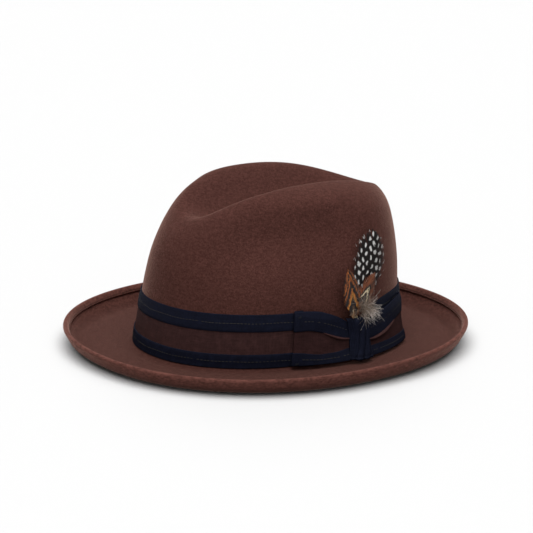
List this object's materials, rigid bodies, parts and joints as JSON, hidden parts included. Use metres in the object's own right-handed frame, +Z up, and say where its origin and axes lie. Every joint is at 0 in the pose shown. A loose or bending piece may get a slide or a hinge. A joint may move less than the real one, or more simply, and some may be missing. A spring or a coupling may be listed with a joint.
{
  "type": "fedora hat",
  "caption": "Brown felt fedora with a teardrop crown, rolled overwelt brim, three-stripe ribbon band with flat bow, tucked feather spray, leather sweatband and satin lining.",
  "frame": {"origin": "centre of the hat's outline at the flat underside of the brim, on the surface it rests on", "axes": "+Z up, -Y the front of the hat, +X the wearer's left side with the bow and feathers"},
  "size_m": [0.2886, 0.305, 0.1255],
  "materials": {
    "brown_felt": "matte, fine wool nap",
    "brown_thread": "matte twisted thread",
    "brown_ribbon": "ribbed grosgrain, soft sheen",
    "navy_ribbon": "ribbed grosgrain, soft sheen",
    "gold_thread": "matte twisted thread",
    "dark_thread": "matte twisted thread",
    "speckled_feather": "black barbs with white dots",
    "quill_horn": "smooth horn",
    "russet_feather": "russet barbs with black and cream marks",
    "grey_down": "soft loose down",
    "brown_leather": "smooth, satin",
    "reed_plastic": "smooth",
    "lining_satin": "woven satin, sheen",
    "white_tape": "woven tape, blank",
    "clear_vinyl": "thin clear film, blank"
  },
  "bodies": {
    "hat": {"felt_body": "brown_felt", "welt_stitching": "brown_thread", "hatband_core": "brown_ribbon", "hatband_binding_lower": "navy_ribbon", "hatband_binding_upper": "navy_ribbon", "binding_thread_lower": "gold_thread", "binding_thread_upper": "gold_thread", "bow_front_wing": "brown_ribbon", "bow_back_wing": "brown_ribbon", "bow_knot": "navy_ribbon", "bow_tack_upper": "dark_thread", "bow_tack_lower": "dark_thread", "sweatband": "brown_leather", "sweatband_reed": "reed_plastic", "sweatband_stitching": "brown_thread", "sweatband_bow": "lining_satin", "size_tab": "white_tape", "lining_side": "lining_satin", "lining_tip": "lining_satin", "lining_shield": "clear_vinyl"},
    "feather_spray": {"guinea_feather_vane": "speckled_feather", "guinea_feather_quill": "quill_horn", "pheasant_back_vane": "russet_feather", "pheasant_back_quill": "quill_horn", "pheasant_front_vane": "russet_feather", "pheasant_front_quill": "quill_horn", "feather_fluff": "grey_down", "feather_binding": "dark_thread"}
  },
  "joints": [
    {"name": "feather_slide", "type": "slide", "parent": "hat", "child": "feather_spray", "axis": [-0.158, 0.1137, 0.9809], "range_m": [0, 0.025]}
  ]
}
